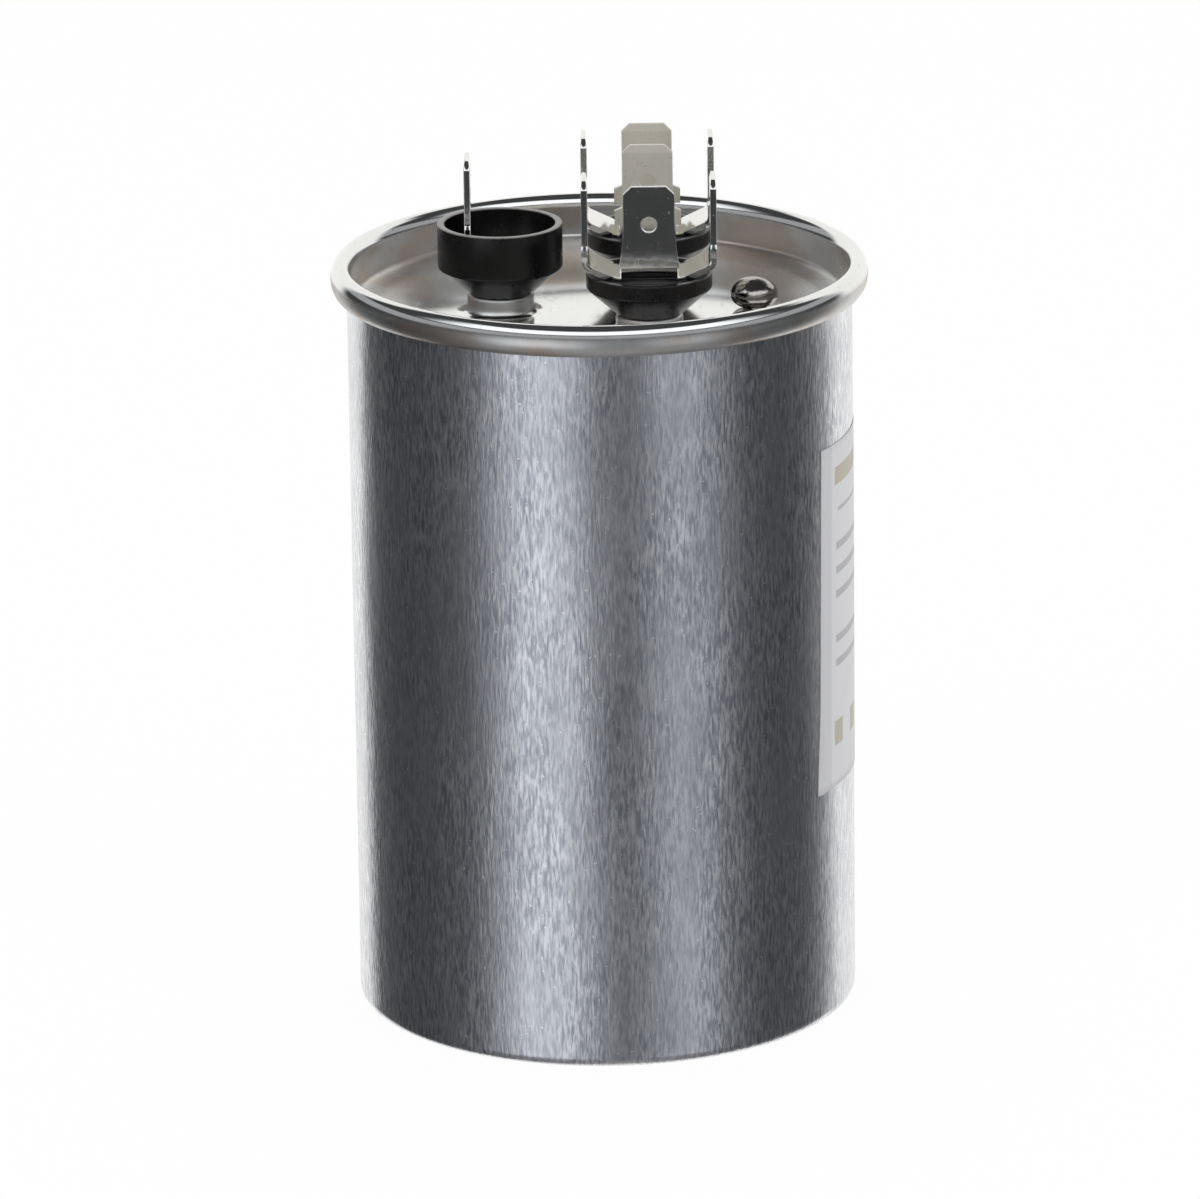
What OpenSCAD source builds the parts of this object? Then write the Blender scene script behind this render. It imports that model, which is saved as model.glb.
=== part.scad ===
// Dual motor run capacitor: round drawn can, double-seamed lid, three insulated
// terminals with folded quick-connect tabs, and the wound element inside.
// Millimetres, +Z up, origin at the middle of the can's flat base.

/* [Can] */
// Outside diameter of the can wall
can_d = 63.5; // [58:0.5:70]
// Height from the base to the top of the rolled seam
can_h = 96.7; // [85:0.1:125]
// Thickness of the drawn wall
can_wall = 0.5; // [0.4:0.05:0.6]
// Thickness of the base
can_floor = 0.7; // [0.5:0.05:1.2]
// Outside radius where the wall turns into the base
heel_r = 1.5; // [1.2:0.1:2.5]

/* [Lid and seam] */
// Radius of the rolled seam's section
seam_r = 2; // [1.95:0.05:2.4]
// Play between the layers that hook into each other in the seam
seam_gap = 0.125; // [0.1:0.005:0.14]
// Amount that seaming presses the can's neck in
neck_in = 0.35; // [0.33:0.01:0.4]
// Thickness of the lid's sheet
lid_t = 0.45; // [0.4:0.01:0.5]
// Depth of the flat panel below the top of the seam
recess_depth = 6.7; // [6:0.1:8]
// Inside radius between the panel and the recess wall
panel_fillet = 1.6; // [1:0.1:2.2]
// Depth that the rubber reaches down between lid and can
gasket_skirt = 2.2; // [1:0.1:3]

/* [Terminal bosses] */
// Diameter of the circle through the three terminals
terminal_circle_d = 24.8; // [24:0.1:27]
// Outside diameter of a boss at its top
boss_d = 8.4; // [8.3:0.1:9]
// Height of a boss above the panel
boss_h = 2.5; // [2:0.1:3]
// Radius of the flare at the foot of a boss
boss_flare = 1.2; // [0.8:0.1:1.4]
// Rounding of a boss's top edge
boss_round = 0.6; // [0.5:0.05:0.8]

/* [Insulator cups] */
// Outside diameter of a cup's collar
cup_d = 15.7; // [15:0.1:16.5]
// Wall of a cup's collar
cup_wall = 0.9; // [0.7:0.05:1.1]
// Diameter of a cup's foot
cup_foot_d = 8.26; // [7.6:0.01:8.28]
// Height of the conical part
cup_cone_h = 3.3; // [3:0.1:3.6]
// Height of a short cup above its boss
short_cup_h = 5.2; // [4.9:0.1:5.4]
// Height of the tall cup above its boss
tall_cup_h = 8.9; // [8.2:0.1:9.5]
// Depth of the seat in a short cup
short_seat = 0.7; // [0.5:0.05:0.75]
// Thickness of the tall cup's floor
tall_floor = 2.7; // [2.4:0.1:3]
// Bevel on the edges of a cup's rim
rim_bevel = 0.2; // [0.1:0.05:0.3]
// Diameter of the neck that passes through the lid
neck_d = 5.8; // [5:0.1:6]

/* [Quick-connect tabs] */
// Width of a tab
tab_w = 6.35; // [6.2:0.05:6.5]
// Thickness of the tab stock
tab_t = 0.8; // [0.75:0.01:0.85]
// Length of a tab from its shoulders to its tip
tab_len = 8.5; // [8:0.1:9]
// Height of the tips above the top of the seam
tab_rise = 13.2; // [12.5:0.1:16]
// Corner cut at a tab's tip
tip_cut = 1; // [0.6:0.1:1.4]
// Height of the coined lead-in at the tip
lead_in = 1; // [0.6:0.1:1.4]
// Thickness left at the tip of the lead-in
tip_t = 0.4; // [0.3:0.05:0.6]
// Diameter of the latching hole
hole_d = 2; // [1.6:0.1:2.2]
// Distance of the hole below the tip
hole_drop = 4.8; // [4.2:0.1:5.2]
// Width below the shoulders
shoulder_w = 7.5; // [7:0.1:8]
// Width below the shoulders of the facing pair
wide_shoulder_w = 8.4; // [7.6:0.1:8.8]
// Slope of a plain shoulder
shoulder_slope = 0.4; // [0.2:0.1:0.8]
// Slope of the front tab's long shoulder
long_slope = 2.6; // [1:0.1:3]
// Inside radius of a square bend
bend_r = 0.5; // [0.3:0.05:0.6]
// Inside radius of the easy bend at the foot of a side arm
arm_bend_r = 1; // [0.6:0.1:1.5]
// Angle at which the side arms rise
arm_angle = 25; // [22:1:30]
// Half length of the flat middle under the side arms
arm_flat = 3.6; // [3.5:0.05:3.8]
// Distance of a side tab from its terminal's axis
side_reach = 8; // [7.8:0.1:9]
// Distance of the front tab from its terminal's axis
front_reach = 5.1; // [4.8:0.1:6]
// Distance of each facing tab from its terminal's axis
pair_reach = 5.5; // [5:0.1:6]
// Distance of the fan tab from its terminal's axis
fan_reach = 4; // [3.8:0.1:4.2]
// Width of the plates that sit on another bracket
plate_w = 7; // [6.4:0.1:7]
// Reach of a plate behind the terminal's axis
plate_back = 3; // [2.6:0.1:3.4]

/* [Posts] */
// Diameter of a post's shank
post_d = 3.2; // [2.8:0.1:3.6]
// Diameter of a post's upper head
head_d = 4.8; // [4.4:0.1:5.2]
// Height of a post's upper head
head_h = 0.9; // [0.6:0.1:1]
// Diameter of a post's riveted lower end
rivet_d = 4.4; // [4.2:0.1:5]
// Height of a post's riveted lower end
rivet_h = 0.8; // [0.5:0.1:1]
// Play of a shank in its bores
post_play = 0.05; // [0.03:0.01:0.1]

/* [Inside the lid] */
// Thickness of a rubber seal under the lid
seal_t = 0.6; // [0.4:0.05:0.8]
// Diameter of an inner bushing's flange
bushing_d = 13; // [11:0.5:14]
// Thickness of an inner bushing's flange
bushing_t = 1.2; // [0.8:0.1:1.6]
// Play of a bushing inside the boss
boss_play = 0.1; // [0.05:0.01:0.2]
// Diameter of a contact lug's ring
lug_d = 6.6; // [6.2:0.1:8]
// Thickness of a contact lug
lug_t = 0.5; // [0.4:0.05:0.8]
// Width of a contact lug's tail
lug_tail_w = 2.4; // [1.8:0.1:3]
// Distance from the post's axis to the lead under the lug's tail
lead_reach = 6.5; // [5.5:0.1:7]
// Distance that the compressor's lead steps back towards the can's axis
lead_step = 4; // [3:0.1:4.5]
// Diameter of a lead
lead_d = 1; // [0.8:0.1:1.2]

/* [Fill plug] */
// Diameter of the solder bead
plug_d = 6.2; // [5.4:0.1:7]
// Height of the solder bead above the panel
plug_h = 4; // [3.6:0.1:4.4]
// Distance of the bead from the can's axis
plug_reach = 19.4; // [18.5:0.1:20.5]
// Diameter of the fill hole
fill_hole_d = 3; // [2:0.1:3.6]

/* [Wound element] */
// Distance between the roll and the can's wall
roll_gap = 2.75; // [2.5:0.05:6]
// Radial thickness of the fan section
fan_section = 1.9; // [1.6:0.1:4]
// Thickness of the film wrap between the sections
section_wrap_t = 0.3; // [0.2:0.05:0.6]
// Thickness of the film wrap round the roll
outer_wrap_t = 0.3; // [0.2:0.05:0.6]
// Outside diameter of the core tube
core_d = 10; // [9:0.5:12]
// Wall of the core tube
core_wall = 1; // [0.8:0.1:1.5]
// Length of core tube that stands proud of the roll
core_proud = 1; // [0.5:0.1:1.2]
// Thickness of the sprayed metal on the roll's ends
spray_t = 0.4; // [0.3:0.05:0.6]
// Bare margin between a sprayed zone and its section's edge
spray_margin = 0.2; // [0.1:0.05:0.3]

/* [Insulation] */
// Thickness of the spacer disc
spacer_t = 1.5; // [1:0.1:2]
// Clear height between the posts and the spacer disc
spacer_air = 1; // [0.6:0.1:2]
// Height of the spacer's feet on the roll
spacer_foot_h = 4.1; // [3.8:0.1:6]
// Angle that each of the spacer's feet and props covers
spacer_foot_angle = 26; // [16:1:36]
// Radial width of the spacer's feet
spacer_foot_w = 2.6; // [2:0.1:3]
// Distance of the feet from the edge of the sprayed zone they stand on
foot_inset = 1; // [0.6:0.1:1.4]
// Radial width of the props under the lid
prop_w = 2.4; // [2:0.1:3]
// Distance of the props from the foot of the lid's fillet
prop_inset = 0.4; // [0.3:0.05:0.6]
// Play of the liner, spacer and pad inside the can
can_play = 0.15; // [0.1:0.01:0.3]
// Wall of the liner
liner_wall = 0.4; // [0.3:0.05:0.5]
// Thickness of the bottom pad's flange
pad_flange_t = 0.6; // [0.5:0.05:1.2]
// Height of the pad's centring rim
pad_rim_h = 4; // [2:0.5:8]
// Wall of the pad's centring rim
pad_rim_wall = 0.8; // [0.6:0.05:1]
// Play of the roll in the pad's rim
roll_play = 0.15; // [0.1:0.01:0.3]

/* [Label] */
// Height of the label's lower edge
label_z = 30.8; // [10:0.1:36]
// Height of the label
label_h = 44.9; // [30:0.1:50]
// Thickness of the label
label_t = 0.08; // [0.05:0.01:0.1]
// Angle of the label's near edge, from the +X axis
label_from = -30; // [-90:1:0]
// Angle that the label covers
label_span = 145; // [90:1:180]

/* [Hidden] */
$fn = 96;

// Overlap that joins two stretches of one sheet or moulding
lap = 0.02;

// Can
can_r = can_d / 2;
can_in_r = can_r - can_wall;
heel_in_r = heel_r - can_wall;

// Seam, worked from the neck outwards: lid hook, can hook, lid curl
seam_z = can_h - seam_r;
neck_r = can_r - neck_in;
lid_hook_r = can_r + seam_gap;
can_hook_in = (lid_hook_r + lid_t + seam_gap - neck_r) / 2;
can_hook_r = neck_r + can_hook_in;
tuck_in = can_wall / 2 + seam_gap;
tuck_out = tuck_in + lid_t;
tuck_r = lid_hook_r + tuck_out;
tuck_drop = sqrt(pow(seam_r - tuck_out, 2) - pow(tuck_r - can_r, 2));
tuck_z = seam_z - tuck_drop;
tuck_angle = -atan2(tuck_drop, tuck_r - can_r);
can_hook_end = tuck_z + seam_gap;
neck_z = tuck_z - tuck_out;

// Lid
recess_r = can_r - seam_r;
panel_z = can_h - recess_depth;
panel_under = panel_z - lid_t;
boss_r = boss_d / 2;
boss_z = panel_z + boss_h;
boss_foot_r = boss_r + boss_flare;
neck_play = post_play;

// Terminals: fan at the left, compressor in front, common at the back
terminal_r = terminal_circle_d / 2;
FAN = 180;
COMPRESSOR = -60;
COMMON = 60;

// Heights up a terminal
fan_seat_z = boss_z + tall_floor;
short_seat_z = boss_z + short_cup_h - short_seat;
second_seat_z = short_seat_z + tab_t;
tip_z = can_h + tab_rise;
shoulder_z = tip_z - tab_len;

// Heights down a terminal
seal_z = boss_z - lid_t - seal_t;
bushing_z = panel_under - bushing_t;
lug_z = bushing_z - lug_t;
rivet_z = lug_z - rivet_h;
bore_r = post_d / 2 + post_play;

// Spacer, roll and pad
spacer_top = rivet_z - spacer_air;
spacer_z = spacer_top - spacer_t;
roll_top = spacer_z - spacer_foot_h;
pad_foot_h = heel_in_r + 0.1;
pad_step_z = can_floor + pad_foot_h;
pad_z = pad_step_z + pad_flange_t;
section_z = pad_z + spray_t;
section_h = roll_top - spray_t - section_z;
lead_z = roll_top + spacer_foot_h / 2;
lead_hole_r = lead_d / 2 + 0.5;
lining_r = can_in_r - can_play;

// Radii through the roll
roll_r = can_in_r - roll_gap;
core_r = core_d / 2;
fan_out_r = roll_r - outer_wrap_t;
fan_in_r = fan_out_r - fan_section;
compressor_out_r = fan_in_r - section_wrap_t;
fan_zone_r = (fan_in_r + fan_out_r) / 2;
pad_rim_r = roll_r + roll_play;

// Spacer feet stand on the compressor section, its props touch the lid
foot_out_r = compressor_out_r - 2 * spray_margin - foot_inset;
foot_in_r = foot_out_r - spacer_foot_w;
prop_out_r = recess_r - panel_fillet - prop_inset;
prop_in_r = prop_out_r - prop_w;

// Colours
ALUMINIUM = [0.74, 0.75, 0.77];
TINPLATE = [0.80, 0.81, 0.82];
NICKEL = [0.84, 0.83, 0.80];
SOLDER = [0.45, 0.44, 0.43];
BLACK_RESIN = [0.05, 0.05, 0.055];
RUBBER = [0.10, 0.10, 0.10];
BRASS = [0.78, 0.68, 0.42];
COPPER = [0.78, 0.52, 0.38];
FILM = [0.82, 0.82, 0.86];
CLEAR_FILM = [0.86, 0.86, 0.80];
ZINC = [0.62, 0.63, 0.64];
WHITE_PLASTIC = [0.93, 0.93, 0.90];
PAPER = [0.93, 0.93, 0.94];

// ---- Helpers ----

// Pie slice from angle a to angle b, out to radius far
module slice(far, a, b) {
    steps = ceil(abs(b - a) / 40);
    polygon(concat([[0, 0]],
        [for (i = [0 : steps]) far * [cos(a + (b - a) * i / steps), sin(a + (b - a) * i / steps)]]));
}

// Part of a ring between two radii and two angles
module ring_part(r_in, r_out, a, b) {
    intersection() {
        difference() {
            circle(r_out);
            circle(r_in);
        }
        slice(3 * r_out, a, b);
    }
}

// Plain ring or tube
module tube(r_in, r_out, h) {
    difference() {
        cylinder(r = r_out, h = h);
        translate([0, 0, -1]) cylinder(r = r_in, h = h + 2);
    }
}

// Side view of bent sheet of thickness t. Each step is [length, 0] for a
// straight or [inside radius, angle] for a bend towards +Y. The child goes on
// from the end of the last step.
module bent_sheet(steps, t, i = 0) {
    if (i == len(steps)) {
        children();
    } else {
        size = steps[i][0];
        angle = steps[i][1];
        if (angle == 0) {
            square([size, t]);
            translate([size, 0]) bent_sheet(steps, t, i + 1) children();
        } else {
            translate([0, t + size]) {
                ring_part(size, size + t, -90, angle - 90);
                rotate(angle) translate([0, -t - size]) bent_sheet(steps, t, i + 1) children();
            }
        }
    }
}

// Stands a side view up in the XZ plane, centred on its width
module across(width) {
    translate([0, width / 2, 0]) rotate([90, 0, 0]) linear_extrude(width) children();
}

// Moves and turns a piece to its terminal; local +X points away from the can's axis
module at_terminal(angle) {
    rotate(angle) translate([terminal_r, 0, 0]) children();
}

// Same place, unturned, for brackets whose tabs face the can's front and sides
module upright_at(angle) {
    translate(terminal_r * [cos(angle), sin(angle), 0]) children();
}

// Straight round wire between two points
module wire(a, b) {
    run = b - a;
    length = norm(run);
    translate(a)
        rotate([0, acos(run[2] / length), atan2(run[1], run[0])])
            cylinder(d = lead_d, h = length, $fn = 32);
}

// Wire through a list of points, with a ball at each bend
module lead(points) {
    for (i = [1 : len(points) - 1]) wire(points[i - 1], points[i]);
    for (i = [1 : 1 : len(points) - 2]) translate(points[i]) sphere(d = lead_d + 2 * lap, $fn = 32);
}

function on_terminal(angle, reach, z) =
    [(terminal_r + reach) * cos(angle), (terminal_r + reach) * sin(angle), z];

// ---- Casing ----

// Half section of a drawn cup: radius r, corner c, base at z. Its neck narrows
// by neck_in over the same height, from neck_z up to top.
module cup_fill(r, z, top, c) {
    translate([0, z]) square([r - c, neck_z - z]);
    translate([0, z + c]) square([r, neck_z - z - c]);
    polygon([
        [0, neck_z - lap], [r, neck_z - lap], [r, neck_z],
        [r - neck_in, neck_z + neck_in], [r - neck_in, top], [0, top],
    ]);
    intersection() {
        translate([r - c, z + c]) circle(c);
        translate([0, z]) square([r, top - z]);
    }
}

module can() {
    color(ALUMINIUM) rotate_extrude($fn = 180) {
        difference() {
            cup_fill(can_r, 0, seam_z, heel_r);
            cup_fill(can_in_r, can_floor, seam_z + 1, heel_in_r);
        }
        translate([can_hook_r, seam_z]) ring_part(can_hook_in, can_hook_in + can_wall, 0, 180);
        translate([can_hook_r + can_hook_in, can_hook_end]) square([can_wall, seam_z - can_hook_end + lap]);
    }
}

module lid_section() {
    translate([0, panel_under]) square([recess_r - panel_fillet, lid_t]);
    translate([recess_r - panel_fillet, panel_z + panel_fillet])
        ring_part(panel_fillet, panel_fillet + lid_t, -90, 0);
    translate([recess_r, panel_z + panel_fillet]) square([lid_t, seam_z - panel_z - panel_fillet]);
    translate([can_r, seam_z]) ring_part(seam_r - lid_t, seam_r, tuck_angle, 180);
    translate([tuck_r, tuck_z]) ring_part(tuck_in, tuck_out, -180, tuck_angle + 2);
    translate([lid_hook_r, tuck_z]) square([lid_t, seam_z - tuck_z]);
}

module boss_section() {
    translate([boss_foot_r, panel_z + boss_flare]) ring_part(boss_flare, boss_flare + lid_t, 180, 270);
    translate([boss_r - lid_t, panel_z + boss_flare]) square([lid_t, boss_h - boss_flare - boss_round]);
    translate([boss_r - boss_round, boss_z - boss_round]) ring_part(boss_round - lid_t, boss_round, 0, 90);
    translate([neck_d / 2 + neck_play, boss_z - lid_t])
        square([boss_r - boss_round - neck_d / 2 - neck_play, lid_t]);
}

module lid() {
    color(TINPLATE) {
        difference() {
            rotate_extrude($fn = 180) lid_section();
            for (angle = [FAN, COMPRESSOR, COMMON])
                at_terminal(angle) translate([0, 0, panel_under - 1]) cylinder(r = boss_foot_r, h = 2);
            translate([plug_reach, 0, panel_under - 1]) cylinder(d = fill_hole_d, h = 3);
        }
        for (angle = [FAN, COMPRESSOR, COMMON]) at_terminal(angle) rotate_extrude() boss_section();
    }
}

module seam_gasket() {
    color(RUBBER) rotate_extrude($fn = 180) {
        difference() {
            translate([can_r, seam_z]) ring_part(0.01, seam_r - lid_t, 0, 180);
            translate([can_hook_r, seam_z]) circle(can_hook_in + can_wall);
        }
        translate([recess_r + lid_t, seam_z - gasket_skirt])
            square([can_in_r - neck_in - recess_r - lid_t, gasket_skirt]);
    }
}

// Flattened drop of solder: a small side radius that runs into a larger crown
module fill_plug() {
    bead_r = plug_d / 2;
    side_r = bead_r / 2;
    crown_h = plug_h * 0.55;
    side_z = panel_z + plug_h - crown_h;
    crown_r = (pow(bead_r - side_r, 2) + pow(crown_h, 2) - pow(side_r, 2)) / (2 * (crown_h - side_r));
    crown_z = panel_z + plug_h - crown_r;
    crown_angle = atan2(side_z - crown_z, bead_r - side_r);
    color(SOLDER) translate([plug_reach, 0, 0]) {
        rotate_extrude() intersection() {
            union() {
                translate([0, crown_z]) intersection() {
                    circle(crown_r);
                    slice(3 * crown_r, crown_angle, 90);
                }
                translate([bead_r - side_r, side_z]) circle(side_r);
                translate([0, panel_z]) square([bead_r - side_r, side_z - panel_z]);
            }
            translate([0, panel_z]) square([bead_r, plug_h]);
        }
        translate([0, 0, panel_under]) cylinder(r = fill_hole_d / 2 - post_play, h = lid_t + plug_h / 4);
    }
}

module label() {
    color(PAPER) rotate(label_from) rotate_extrude(angle = label_span, $fn = 180)
        translate([can_r, label_z]) square([label_t, label_h]);
}

// ---- Terminals ----

// Moulded cup on a boss: rim height, and the floor that the bracket sits on
module cup(height, floor_z) {
    rim_z = boss_z + height;
    cone_z = boss_z + cup_cone_h;
    out_r = cup_d / 2;
    in_r = out_r - cup_wall;
    floor_r = min(in_r, cup_foot_d / 2 + (out_r - cup_foot_d / 2) * (floor_z - boss_z) / cup_cone_h - 1.05);
    color(BLACK_RESIN) rotate_extrude() polygon([
        [bore_r, boss_z - lid_t - seal_t],
        [neck_d / 2, boss_z - lid_t - seal_t],
        [neck_d / 2, boss_z],
        [cup_foot_d / 2, boss_z],
        [out_r, cone_z],
        [out_r, rim_z - rim_bevel],
        [out_r - rim_bevel, rim_z],
        [in_r + rim_bevel, rim_z],
        [in_r, rim_z - rim_bevel],
        [in_r, floor_z + in_r - floor_r],
        [floor_r, floor_z],
        [bore_r, floor_z],
    ]);
}

module seal() {
    color(RUBBER) translate([0, 0, seal_z]) tube(neck_d / 2, boss_r - boss_round, seal_t);
}

module bushing() {
    color(WHITE_PLASTIC) {
        translate([0, 0, bushing_z]) tube(bore_r, bushing_d / 2, bushing_t);
        translate([0, 0, panel_under]) tube(bore_r, boss_r - lid_t - boss_play, seal_z - panel_under);
    }
}

// Ring round the post with a tail; the tail points away from the can's axis or towards it
module lug(turn) {
    tail = lead_reach + lug_tail_w / 2;
    color(BRASS) translate([0, 0, lug_z]) rotate(turn) linear_extrude(lug_t) difference() {
        union() {
            circle(d = lug_d);
            translate([0, -lug_tail_w / 2]) square([tail - lug_tail_w / 2, lug_tail_w]);
            translate([tail - lug_tail_w / 2, 0]) circle(d = lug_tail_w);
        }
        circle(bore_r);
    }
}

// Riveted post: domed head on the bracket at seat_z, upset end under the lug
module post(seat_z) {
    dome_r = (pow(head_d / 2, 2) + pow(head_h, 2)) / (2 * head_h);
    color(NICKEL) {
        translate([0, 0, lug_z]) cylinder(d = post_d, h = seat_z - lug_z);
        translate([0, 0, seat_z]) intersection() {
            translate([0, 0, head_h - dome_r]) sphere(dome_r);
            cylinder(d = head_d, h = head_h);
        }
        translate([0, 0, rivet_z]) cylinder(d1 = post_d + 0.6, d2 = rivet_d, h = rivet_h);
    }
}

// Front view of a bracket: its plate up to foot_z, its shoulders and its tab.
// The cut corners run on past the tip, which the side view ends.
module tab_front(seat_z, plate, foot_z, foot_w, slope) {
    past = 1;
    half = tab_w / 2;
    foot = foot_w / 2;
    plate_part = plate < foot_w ? [[plate / 2, seat_z - past], [plate / 2, foot_z], [foot, foot_z]]
                                : [[foot, seat_z - past]];
    right = concat(plate_part, [
        [foot, shoulder_z], [half, shoulder_z + slope],
        [half, tip_z - tip_cut], [half - tip_cut - past, tip_z + past],
    ]);
    left = [for (i = [len(right) - 1 : -1 : 0]) [-right[i][0], right[i][1]]];
    polygon(concat(right, left));
}

// Side view of an upright tab of the given length, with its coined lead-in
module tab_side(length) {
    coin = (tab_t - tip_t) / 2;
    polygon([
        [0, 0], [length - lead_in, 0], [length, coin],
        [length, tab_t - coin], [length - lead_in, tab_t], [0, tab_t],
    ]);
}

// Sheet that starts at distance start on seat_z, follows the steps to foot_z at
// distance reach, and stands up there as a tab
module bracket(seat_z, start, steps, foot_z, reach, plate, foot_w, slope) {
    past = 1;
    difference() {
        intersection() {
            translate([0, 0, seat_z]) across(foot_w + 2 * past)
                translate([start, 0]) bent_sheet(steps, tab_t) tab_side(tip_z - foot_z);
            translate([start - past, 0, 0]) rotate([90, 0, 90])
                linear_extrude(reach - start + 2 * past) tab_front(seat_z, plate, foot_z, foot_w, slope);
        }
        translate([reach - tab_t, 0, tip_z - hole_drop]) rotate([0, 90, 0])
            cylinder(d = hole_d, h = 2 * tab_t, $fn = 48);
    }
}

// Plate on seat_z that turns up square into a tab at distance reach
module square_bracket(seat_z, reach, plate, foot_w, slope) {
    straight = reach - tab_t / 2 - bend_r;
    steps = [[plate_back + straight, 0], [bend_r, 90]];
    bracket(seat_z, -plate_back, steps, seat_z + tab_t + bend_r, reach, plate, foot_w, slope);
}

// One side arm: flat under the post, rising outwards, then turning straight up
module arm(seat_z) {
    outer_face = side_reach + tab_t / 2;
    easy = tab_t + arm_bend_r;
    tight = tab_t + bend_r;
    incline = (outer_face - arm_flat - easy * sin(arm_angle) - tight * (1 - sin(arm_angle))) / cos(arm_angle);
    foot_z = seat_z + easy * (1 - cos(arm_angle)) + incline * sin(arm_angle) + tight * cos(arm_angle);
    steps = [[arm_flat + lap, 0], [arm_bend_r, arm_angle], [incline, 0], [bend_r, 90 - arm_angle]];
    bracket(seat_z, -lap, steps, foot_z, side_reach, shoulder_w, shoulder_w, shoulder_slope);
}

// Bores a bracket for the post's shank
module bored(seat_z) {
    difference() {
        union() children();
        translate([0, 0, seat_z - 1]) cylinder(r = bore_r, h = tab_t + 2);
    }
}

module side_tabs() {
    color(NICKEL) bored(short_seat_z) for (turn = [0, 180]) rotate(turn) arm(short_seat_z);
}

module fan_tab() {
    color(NICKEL) upright_at(FAN) rotate(180) bored(fan_seat_z)
        square_bracket(fan_seat_z, fan_reach, shoulder_w, shoulder_w, shoulder_slope);
}

module compressor_front_tab() {
    color(NICKEL) upright_at(COMPRESSOR) rotate(-90) bored(second_seat_z)
        square_bracket(second_seat_z, front_reach, plate_w, shoulder_w, long_slope);
}

module common_facing_tabs() {
    color(NICKEL) upright_at(COMMON) bored(second_seat_z) for (turn = [-90, 90]) rotate(turn)
        square_bracket(second_seat_z, pair_reach, plate_w, wide_shoulder_w, shoulder_slope);
}

// ---- Wound element and insulation ----

module roll_ring(r_in, r_out, z, h) {
    translate([0, 0, z]) tube(r_in, r_out, h);
}

module fan_lead() {
    top = on_terminal(FAN, lead_reach, lug_z);
    color(COPPER) lead([
        top, [top[0], top[1], lead_z], [-fan_zone_r, 0, lead_z], [-fan_zone_r, 0, roll_top],
    ]);
}

module compressor_lead() {
    top = on_terminal(COMPRESSOR, lead_reach, lug_z);
    foot = on_terminal(COMPRESSOR, lead_reach - lead_step, lead_z);
    color(COPPER) lead([
        top, [top[0], top[1], lead_z], foot, [foot[0], foot[1], roll_top],
    ]);
}

module common_lead() {
    top = on_terminal(COMMON, -lead_reach, lug_z);
    under = pad_z - lead_d / 2;
    color(COPPER) lead([
        top, [top[0], top[1], lead_z], [0, 0, lead_z], [0, 0, under], [core_d, 0, under],
    ]);
}

module spacer_disc() {
    color(WHITE_PLASTIC) {
        difference() {
            translate([0, 0, spacer_z]) cylinder(r = lining_r, h = spacer_t, $fn = 180);
            for (spot = [
                on_terminal(FAN, lead_reach, spacer_z),
                on_terminal(COMPRESSOR, lead_reach, spacer_z),
                on_terminal(COMMON, -lead_reach, spacer_z),
            ]) translate([spot[0], spot[1], spacer_z - 1]) cylinder(r = lead_hole_r, h = spacer_t + 2, $fn = 32);
        }
        for (angle = [0, 120, 240]) rotate(angle) {
            translate([0, 0, roll_top]) linear_extrude(spacer_foot_h + lap)
                ring_part(foot_in_r, foot_out_r, -spacer_foot_angle / 2, spacer_foot_angle / 2);
            translate([0, 0, spacer_top - lap]) linear_extrude(panel_under - spacer_top + lap)
                ring_part(prop_in_r, prop_out_r, -spacer_foot_angle / 2, spacer_foot_angle / 2);
        }
    }
}

module bottom_pad() {
    groove_w = lead_d + 2 * boss_play;
    color(WHITE_PLASTIC) {
        difference() {
            union() {
                translate([0, 0, can_floor]) cylinder(r = can_in_r - heel_in_r - boss_play, h = pad_foot_h);
                translate([0, 0, pad_step_z]) cylinder(r = lining_r, h = pad_flange_t, $fn = 180);
            }
            translate([-groove_w / 2, -groove_w / 2, pad_z - lead_d - boss_play])
                cube([core_d + groove_w, groove_w, lead_d + 1]);
        }
        roll_ring(pad_rim_r, pad_rim_r + pad_rim_wall, pad_z, pad_rim_h);
    }
}

module core_tube() {
    color(WHITE_PLASTIC) roll_ring(core_r - core_wall, core_r, pad_z, roll_top + core_proud - pad_z);
}

module compressor_winding() {
    color(FILM) roll_ring(core_r, compressor_out_r, section_z, section_h);
}

module section_wrap() {
    color(CLEAR_FILM) roll_ring(compressor_out_r, fan_in_r, section_z, section_h);
}

module fan_winding() {
    color(FILM) roll_ring(fan_in_r, fan_out_r, section_z, section_h);
}

module outer_wrap() {
    color(CLEAR_FILM) roll_ring(fan_out_r, roll_r, section_z, section_h);
}

module common_end_spray() {
    color(ZINC) roll_ring(core_r + spray_margin, fan_out_r, pad_z, spray_t);
}

module compressor_end_spray() {
    color(ZINC) roll_ring(core_r + spray_margin, compressor_out_r - spray_margin, roll_top - spray_t, spray_t);
}

module fan_end_spray() {
    color(ZINC) roll_ring(fan_in_r + spray_margin, fan_out_r, roll_top - spray_t, spray_t);
}

module can_liner() {
    color(CLEAR_FILM) roll_ring(lining_r - liner_wall, lining_r, pad_z, spacer_z - pad_z);
}

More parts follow.
